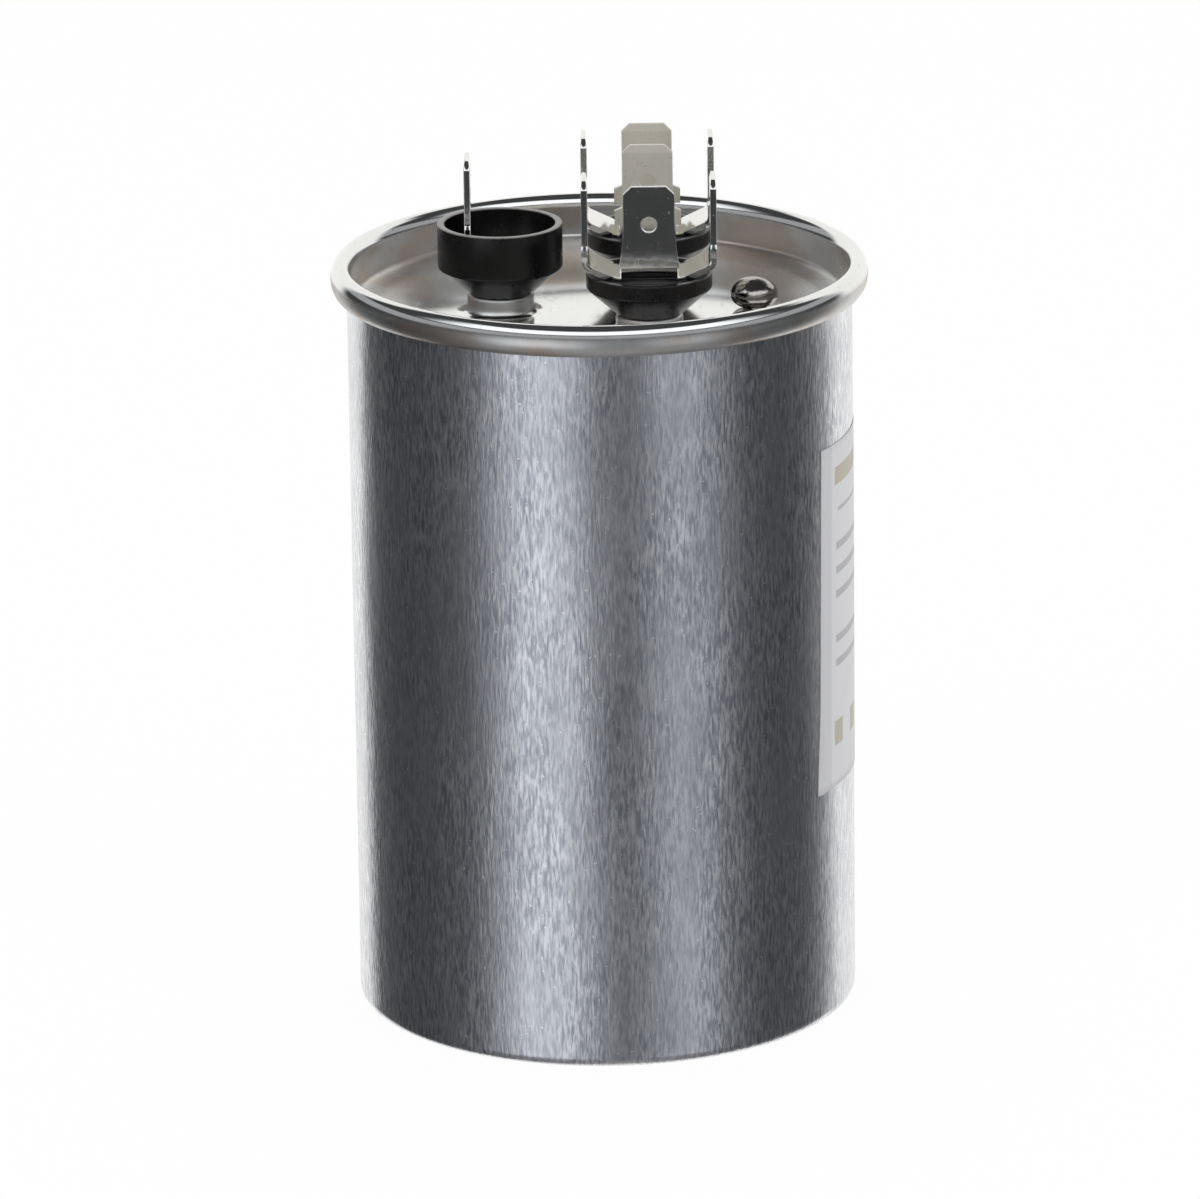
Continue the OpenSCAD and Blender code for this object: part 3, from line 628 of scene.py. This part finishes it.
# %% Finish of the tabs
def nickel_plate(name, dull=0.0, pale=(0.84, 0.83, 0.80)):
    """Bright plating, or the duller one of the facing tabs."""
    nickel = Finish(name, Metallic=1.0 - dull)
    cloud = nickel.grain(3.5 * MM, detail=3)
    rolled = nickel.grain(0.25 * MM, (1, 1, 0.1), detail=3, rough=0.6)
    specks = nickel.grain(0.30 * MM, detail=1, shift=(0.3, 0.1, 0)).step(0.72, 0.79)
    nicks = nickel.grain(0.5 * MM, (1, 1, 0.6), detail=3, shift=(0.1, 0.3, 0)).step(0.66, 0.76)
    colour = nickel.mix(cloud, [tone * 0.90 for tone in pale], pale)
    nickel.set("Base Color", nickel.mix(specks * 0.6, colour, (0.25, 0.23, 0.20)))
    nickel.set("Roughness", 0.07 + dull + rolled * 0.08 + specks * 0.2 + nicks * 0.25)
    wave = nickel.bump(cloud, 0.04 * MM)
    nickel.set("Normal", nickel.bump(rolled, 0.003 * MM, below=wave))
    return nickel


# %% Fold a flat blank
TAB_HALF = 3.175 * MM
TIP_CUT = 1.0 * MM
LEAD_IN = 1.0 * MM
TIP_T = 0.5 * MM
TAB_LEN = 8.5 * MM
HOLE_R = 1.0 * MM
HOLE_DROP = 4.8 * MM
SHANK_R = 1.6 * MM
PUNCHED_EDGE = 0.07 * MM
FOLD_STEP = math.radians(8)
PLATING = nickel_plate("nickel_plate")
DULL_PLATING = nickel_plate("dull_nickel_plate", dull=0.40, pale=(0.84, 0.80, 0.71))


def path_length(steps):
    """Length of sheet, at the middle of its thickness, that the steps use."""
    return sum(size if turn == 0 else (size + SHEET / 2) * turn for size, turn in steps)


def fold_stops(steps):
    """Distances along the sheet where the blank needs a line across it."""
    stops, reached = [], 0
    for size, turn in steps:
        length = size if turn == 0 else (size + SHEET / 2) * turn
        parts = 1 if turn == 0 else math.ceil(turn / FOLD_STEP)
        stops += [reached + length * (i + 1) / parts for i in range(parts)]
        reached += length
    return stops


def folded(s, h, steps):
    """Place (x, z) of a point s along the sheet and h above its underside."""
    x, z, heading, left = 0.0, 0.0, 0.0, s
    for number, (size, turn) in enumerate(steps):
        middle_r = size + SHEET / 2
        length = size if turn == 0 else middle_r * turn
        along = left if number == len(steps) - 1 else min(left, length)
        if turn == 0:
            x += along * math.cos(heading)
            z += along * math.sin(heading)
        else:
            lower_r = size + SHEET
            centre = (x - lower_r * math.sin(heading), z + lower_r * math.cos(heading))
            heading += along / middle_r
            x = centre[0] + lower_r * math.sin(heading)
            z = centre[1] - lower_r * math.cos(heading)
        left -= along
        if left <= 0:
            break
    return x - h * math.sin(heading), z + h * math.cos(heading)


def blank_half(steps, plate_half, foot_half, slope):
    """Outline (s, w) of one arm on the +w side, from its middle to its tip."""
    foot_s = path_length(steps[:-1])
    tip_s = path_length(steps)
    shoulder_s = tip_s - TAB_LEN
    shoulder_half = foot_half if slope < TIP_CUT else (foot_half + TAB_HALF) / 2
    plate = [] if plate_half == foot_half else [(foot_s, plate_half)]
    return plate + [
        (foot_s, foot_half), (shoulder_s, shoulder_half), (shoulder_s + slope, TAB_HALF),
        (tip_s - TIP_CUT, TAB_HALF), (tip_s, TAB_HALF - TIP_CUT),
    ]


def punch_blank(mesh, outline, holes):
    """Fills an outline with round holes, in the plane of s and w."""
    corners = [mesh.verts.new((s, w, 0)) for s, w in outline]
    rim = [mesh.edges.new(pair) for pair in zip(corners, corners[1:] + corners[:1])]
    for hole_s, radius, corners_round in holes:
        ring = bmesh.ops.create_circle(mesh, segments=corners_round, radius=radius)["verts"]
        bmesh.ops.translate(mesh, verts=ring, vec=(hole_s, 0, 0))
        rim += list({e for v in ring for e in v.link_edges})
    bmesh.ops.triangle_fill(mesh, use_beauty=True, use_dissolve=False, edges=rim, normal=(0, 0, 1))


def is_flat(face, steps):
    """True for a flat face of the blank that no bend of the steps crosses."""
    axis_aligned = max(abs(face.normal.x), abs(face.normal.y), abs(face.normal.z)) > 0.999
    if not axis_aligned or face.calc_area() < (0.1 * MM) ** 2:
        return False
    place, reached = abs(face.calc_center_median().x), 0
    for size, turn in steps:
        length = size if turn == 0 else (size + SHEET / 2) * turn
        if reached <= place <= reached + length:
            return turn == 0
        reached += length
    return True


def thicken_blank(mesh):
    faces = list(mesh.faces)
    raised = bmesh.ops.extrude_face_region(mesh, geom=faces)["geom"]
    lifted = [v for v in raised if isinstance(v, bmesh.types.BMVert)]
    bmesh.ops.translate(mesh, verts=lifted, vec=(0, 0, SHEET))
    bmesh.ops.recalc_face_normals(mesh, faces=mesh.faces)


def fold_blank(
    name, node, steps, plate_half, foot_half, slope, two_arms, back, turn, axis, seat, plating=PLATING
):
    """Punches, thickens and folds one bracket, and puts it on its seat."""
    arm = blank_half(steps, plate_half, foot_half, slope)
    tip_s = path_length(steps)
    hole_s = tip_s - HOLE_DROP
    if two_arms:
        right = [(-s, w) for s, w in reversed(arm)] + arm
        holes = [(hole_s, HOLE_R, 32), (-hole_s, HOLE_R, 32), (0, SHANK_R, 24)]
    else:
        right = [(-back, plate_half)] + arm
        holes = [(hole_s, HOLE_R, 32), (0, SHANK_R, 24)]
    outline = right + [(s, -w) for s, w in reversed(right)]
    mesh = bmesh.new()
    punch_blank(mesh, outline, holes)
    stops = fold_stops(steps) + [tip_s - LEAD_IN]
    for stop in stops + ([-s for s in stops] if two_arms else []):
        geometry = mesh.verts[:] + mesh.edges[:] + mesh.faces[:]
        line = {"plane_co": (stop, 0, 0), "plane_no": (1, 0, 0)}
        bmesh.ops.bisect_plane(mesh, geom=geometry, dist=0.001 * MM, **line)
    thicken_blank(mesh)
    round_edges(mesh, PUNCHED_EDGE, over=60, segments=2)
    mesh.normal_update()
    flat = [f for f in mesh.faces if is_flat(f, steps)]
    spin = Matrix.Rotation(turn, 4, "Z")
    for corner in mesh.verts:
        s, w, h = corner.co
        side = -1 if two_arms and s < 0 else 1
        share = min(max((abs(s) - (tip_s - LEAD_IN)) / LEAD_IN, 0), 1) if side * s > 0 else 0
        h = SHEET / 2 + (h - SHEET / 2) * (1 - share * (1 - TIP_T / SHEET))
        x, z = folded(side * s, h, steps)
        corner.co = spin @ Vector((side * x, w, z)) + Vector((axis.x, axis.y, seat))
    bmesh.ops.recalc_face_normals(mesh, faces=mesh.faces)
    return piece(name, mesh, plating, [node], weighted=False, flat=flat)


# %% Fold the five brackets
BEND_R = 0.9 * MM
ARM_BEND_R = 2.0 * MM
ARM_ANGLE = math.radians(25)
ARM_FLAT = 3.6 * MM
SIDE_REACH = 8.0 * MM
SHOULDER_HALF = 3.75 * MM
WIDE_SHOULDER_HALF = 4.2 * MM
PLATE_HALF = 3.5 * MM
PLATE_BACK = 3.0 * MM
FAN_REACH = 4.0 * MM
FRONT_REACH = 5.1 * MM
FACING_REACH = 5.5 * MM
SHOULDER_SLOPE = 0.4 * MM
LONG_SLOPE = 3.4 * MM


def square_steps(seat, reach):
    """Flat plate, one square bend, then straight up to the tip."""
    straight = reach - SHEET / 2 - BEND_R
    return [(straight, 0), (BEND_R, math.pi / 2), (TIP_Z - seat - SHEET - BEND_R, 0)]


def arm_steps(seat):
    """Flat middle, easy bend up, incline, tight bend, then straight up to the tip."""
    easy, tight = SHEET + ARM_BEND_R, SHEET + BEND_R
    sine, cosine = math.sin(ARM_ANGLE), math.cos(ARM_ANGLE)
    run = SIDE_REACH + SHEET / 2 - ARM_FLAT - easy * sine - tight * (1 - sine)
    incline = run / cosine
    climb = easy * (1 - cosine) + incline * sine + tight * cosine
    bends = [(ARM_FLAT, 0), (ARM_BEND_R, ARM_ANGLE), (incline, 0), (BEND_R, math.pi / 2 - ARM_ANGLE)]
    return bends + [(TIP_Z - seat - climb, 0)]


def make_side_tabs(terminal):
    seat = SEATS[terminal]
    fold_blank(
        terminal + "_side_bracket", terminal + "_side_tabs", arm_steps(seat),
        SHOULDER_HALF, SHOULDER_HALF, SHOULDER_SLOPE,
        two_arms=True, back=0, turn=0, axis=TERMINALS[terminal], seat=seat,
    )


make_side_tabs("compressor")
make_side_tabs("common")
front_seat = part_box("compressor_front_tab")[0].z
fold_blank(
    "compressor_front_bracket", "compressor_front_tab", square_steps(front_seat, FRONT_REACH), PLATE_HALF,
    SHOULDER_HALF, LONG_SLOPE, two_arms=False, back=PLATE_BACK, turn=-math.pi / 2,
    axis=TERMINALS["compressor"], seat=front_seat,
)
fold_blank(
    "common_facing_bracket", "common_facing_tabs", square_steps(front_seat, FACING_REACH), PLATE_HALF,
    WIDE_SHOULDER_HALF, SHOULDER_SLOPE, two_arms=True, back=0, turn=math.pi / 2,
    axis=TERMINALS["common"], seat=front_seat, plating=DULL_PLATING,
)
fold_blank(
    "fan_bracket", "fan_tab", square_steps(SEATS["fan"], FAN_REACH), SHOULDER_HALF, SHOULDER_HALF,
    SHOULDER_SLOPE, two_arms=False, back=PLATE_BACK, turn=math.pi, axis=TERMINALS["fan"], seat=SEATS["fan"],
)

# %% [markdown]
# ## Posts and solder bead
#
# The posts are riveted: a domed head on the plates, a shank through the cup, and an
# upset end inside. The bead closes the hole through which the can was filled with oil.
# Solder that froze as a drop isn't quite round, so a slow noise pushes its points.

# %% Make the posts
HEAD_R = 2.4 * MM
HEAD_H = 0.9 * MM
UPSET_R = 2.2 * MM
UPSET_TOP_R = 1.9 * MM
UPSET_H = 0.8 * MM


def make_post(terminal):
    node = terminal + "_post"
    low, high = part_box(node)
    head_z = high.z - HEAD_H
    dome_r = (HEAD_R ** 2 + HEAD_H ** 2) / (2 * HEAD_H)
    edge = math.degrees(math.asin((dome_r - HEAD_H) / dome_r))
    dome = arc((0, high.z - dome_r), dome_r, edge, 90, 10)
    upset_z = low.z + UPSET_H
    section = [(0, low.z), (UPSET_R, low.z), (UPSET_TOP_R, upset_z), (SHANK_R, upset_z)]
    section += [(SHANK_R, head_z), (HEAD_R, head_z)] + dome[1:]
    mesh = bmesh.new()
    spin_section(mesh, section, TERMINALS[terminal], steps=48)
    piece(node + "_rivet", mesh, PLATING, [node])


for terminal_name in TERMINALS:
    make_post(terminal_name)


# %% Finish of the solder and the bead itself
def solder():
    bead = Finish("solder", Metallic=1.0)
    cloud = bead.grain(1.6 * MM, detail=3)
    skin = bead.grain(0.4 * MM, detail=3)
    bead.set("Base Color", bead.mix(cloud, (0.32, 0.29, 0.27), (0.54, 0.51, 0.48)))
    bead.set("Roughness", 0.08 + skin * 0.14)
    bead.set("Normal", bead.bump(cloud, 0.12 * MM))
    return bead


FILL_HOLE_R = 1.45 * MM
SAG = 0.05
SAG_SIZE = 1.8 * MM


def make_bead():
    low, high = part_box("fill_plug")
    axis = middle_of("fill_plug")
    bead_r = (high.x - low.x) / 2
    side_r = bead_r / 2
    height = high.z - PANEL_Z
    crown_h = height * 0.55
    side_z = high.z - crown_h
    crown_r = ((bead_r - side_r) ** 2 + crown_h ** 2 - side_r ** 2) / (2 * (crown_h - side_r))
    crown_z = high.z - crown_r
    turn = math.degrees(math.atan2(side_z - crown_z, bead_r - side_r))
    foot = -math.degrees(math.asin(min(1, (side_z - PANEL_Z) / side_r)))
    section = [(0, low.z), (FILL_HOLE_R, low.z), (FILL_HOLE_R, PANEL_Z)]
    section += arc((bead_r - side_r, side_z), side_r, foot, turn, 10)
    section += arc((0, crown_z), crown_r, turn, 90, 10)[1:]
    mesh = bmesh.new()
    spin_section(mesh, section, axis, steps=64)
    for corner in mesh.verts:
        if corner.co.z > PANEL_Z + 0.2 * MM:
            out = corner.co - Vector((axis.x, axis.y, side_z))
            corner.co -= out * SAG * (0.5 + 0.5 * noise.noise(corner.co / SAG_SIZE))
    piece("solder_bead", mesh, solder(), ["fill_plug"])


make_bead()

# %% [markdown]
# ## Label
#
# The paper label is wrapped round the can and its edge faces the camera from the
# right. It is printed here with plain bars and boxes where a real one has words. The
# label starts as a flat grid that is wrapped round the wall, and its lower near corner
# has lifted a little, as glued paper does.

# %% Print and wrap the label
LABEL_FROM = math.radians(-31.3)
LABEL_LEAN = math.radians(1.2)
FLAP_SHARE = 0.24
FLAP_W = 0.55 * MM
LABEL_SPAN = math.radians(145)
label_low, label_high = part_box("label")
LABEL_H = label_high.z - label_low.z
LABEL_T = 0.07 * MM
FLAP_LIFT = 0.16 * MM
COLUMNS = 96
ROWS = 32


def label_paper():
    """Bars and boxes are placed by the label's own UV map, in shares of its size."""
    paper = Finish("label_paper", Metallic=0.0, Coat_Roughness=0.25)
    u, v = paper.axes(paper.node("ShaderNodeUVMap", {"uv_map": "UVMap"}))[:2]

    def box(left, right, low, high):
        return u.inside(left, right, 0.001) * v.inside(low, high, 0.002)

    margin = 1 - u.step(0.034, 0.040)
    heading = box(0.048, 0.40, 0.88, 0.93)
    rules = box(0.062, 0.38, 0.80, 0.81)
    for low in (0.69, 0.62, 0.55, 0.42, 0.35):
        rules = rules.larger(box(0.055, 0.34, low, low + 0.02))
    frame_box = box(0.52, 0.92, 0.30, 0.90)
    frame_box = frame_box * (1 - box(0.525, 0.915, 0.31, 0.89))
    dots = box(0.050, 0.085, 0.12, 0.19)
    for left in (0.13, 0.21):
        dots = dots.larger(box(left, left + 0.04, 0.12, 0.19))
    fibre = paper.grain(0.5 * MM, detail=3)
    soiled = paper.grain(12 * MM, detail=2)
    white = paper.mix(fibre, (0.68, 0.68, 0.70), (0.72, 0.72, 0.735))
    white = paper.mix(soiled.step(0.5, 0.8) * 0.3 + margin * 0.5, white, (0.55, 0.55, 0.57))
    ink = paper.mix(rules.larger(frame_box) * 0.8, white, (0.38, 0.38, 0.40))
    ink = paper.mix(heading.larger(dots) * 0.85, ink, (0.45, 0.40, 0.27))
    paper.set("Base Color", ink)
    paper.set("Roughness", 0.42 + fibre * 0.12)
    paper.set("Coat Weight", 0.2 + soiled * 0.1)
    paper.set("Normal", paper.bump(soiled, 0.05 * MM))
    return paper


def make_label():
    mesh = bmesh.new()
    bmesh.ops.create_grid(mesh, x_segments=COLUMNS, y_segments=ROWS, size=0.5)
    uv_layer = mesh.loops.layers.uv.new("UVMap")
    for face in mesh.faces:
        for loop in face.loops:
            loop[uv_layer].uv = (loop.vert.co.x + 0.5, loop.vert.co.y + 0.5)
    first_column = 1 / COLUMNS + 0.001
    for corner in mesh.verts:
        u, v = corner.co.x + 0.5, corner.co.y + 0.5
        peeled = max(0, 1 - v / FLAP_SHARE)
        r = WALL_R + 0.01 * MM
        if 0.001 < u < first_column:
            r += FLAP_LIFT * peeled
        angle = LABEL_FROM + LABEL_SPAN * u + LABEL_LEAN * (v - 0.5)
        if u < 0.001:
            angle -= FLAP_W * peeled / WALL_R
        corner.co = (r * math.cos(angle), r * math.sin(angle), label_low.z + LABEL_H * v)
    bmesh.ops.recalc_face_normals(mesh, faces=mesh.faces)
    first = next(iter(mesh.faces))
    middle = first.calc_center_median()
    if first.normal.dot(Vector((middle.x, middle.y, 0))) < 0:
        bmesh.ops.reverse_faces(mesh, faces=mesh.faces)
    label = piece("label_sheet", mesh, label_paper(), ["label"], weighted=False)
    thicken = label.modifiers.new("thickness", "SOLIDIFY")
    thicken.thickness = LABEL_T
    thicken.offset = 1
    return label


make_label()

# %% [markdown]
# ## Pieces inside
#
# The seals, bushings, lugs, leads and the wound sections keep their CAD shapes. They are
# hidden in the closed can, and each gets the finish of its own stuff, so that an opened
# or cut view of the part shows what it is made of.

# %% Finishes of the inner pieces
def simple_finish(name, first, second, size, stretch=(1, 1, 1), metallic=0.0, rough=0.5, depth=0.02 * MM):
    finish = Finish(name, Metallic=metallic)
    cloud = finish.grain(size, stretch)
    finish.set("Base Color", finish.mix(cloud, first, second))
    finish.set("Roughness", rough + (cloud - 0.5) * 0.2)
    finish.set("Normal", finish.bump(cloud, depth))
    return finish


INNER = {
    "rubber": simple_finish(
        "seal_rubber", (0.012, 0.012, 0.012), (0.035, 0.033, 0.03), 0.8 * MM, rough=0.7),
    "white_plastic": simple_finish(
        "white_plastic", (0.74, 0.73, 0.69), (0.82, 0.81, 0.78), 4 * MM, rough=0.4),
    "brass": simple_finish(
        "lug_brass", (0.72, 0.55, 0.26), (0.83, 0.68, 0.36), 2 * MM, metallic=1.0, rough=0.25),
    "copper": simple_finish(
        "tinned_copper", (0.75, 0.45, 0.30), (0.88, 0.62, 0.46), 1 * MM, metallic=1.0, rough=0.3),
    "film": simple_finish(
        "wound_film", (0.60, 0.61, 0.65), (0.86, 0.86, 0.88), 0.3 * MM, (1, 1, 0.02), 1.0, 0.35),
    "clear_film": simple_finish(
        "film_wrap", (0.62, 0.60, 0.50), (0.78, 0.77, 0.70), 0.6 * MM, (1, 1, 0.04)),
    "zinc": simple_finish(
        "sprayed_zinc", (0.38, 0.39, 0.40), (0.62, 0.63, 0.64), 0.5 * MM, metallic=1.0, rough=0.6),
}
INSIDE = {
    "rubber": ["fan_seal", "compressor_seal", "common_seal"],
    "white_plastic": [
        "fan_bushing", "compressor_bushing", "common_bushing", "spacer_disc", "core_tube", "bottom_pad",
    ],
    "brass": ["fan_lug", "compressor_lug", "common_lug"],
    "copper": ["fan_lead", "compressor_lead", "common_lead"],
    "film": ["compressor_winding", "fan_winding"],
    "clear_film": ["section_wrap", "outer_wrap", "can_liner"],
    "zinc": ["compressor_end_spray", "fan_end_spray", "common_end_spray"],
}
for stuff, nodes in INSIDE.items():
    for node_name in nodes:
        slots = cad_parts[node_name].data.materials
        slots.clear()
        slots.append(INNER[stuff].owner)
print("finished", sum(len(nodes) for nodes in INSIDE.values()), "inner nodes")

# %% [markdown]
# ## Sealing compound
#
# The compound lies inside the fold of the seam, where the lid wraps round the can's
# edge. The roll is drawn slimmer here than in the solid, so the compound is too.

# %% Ring of sealing compound
COMPOUND_Z = SEAM_Z + 1.15 * MM
COMPOUND_HALF_W = 0.7 * MM
COMPOUND_HALF_H = 0.3 * MM


def make_compound():
    mesh = bmesh.new()
    section = [
        (ROLL_R + COMPOUND_HALF_W * r, COMPOUND_Z + COMPOUND_HALF_H * z)
        for r, z in arc((0, 0), 1, 0, 330, 11)
    ]
    spin_section(mesh, section, AXIS, steps=192)
    return piece("seam_compound", mesh, INNER["rubber"], ["seam_gasket"])


make_compound()
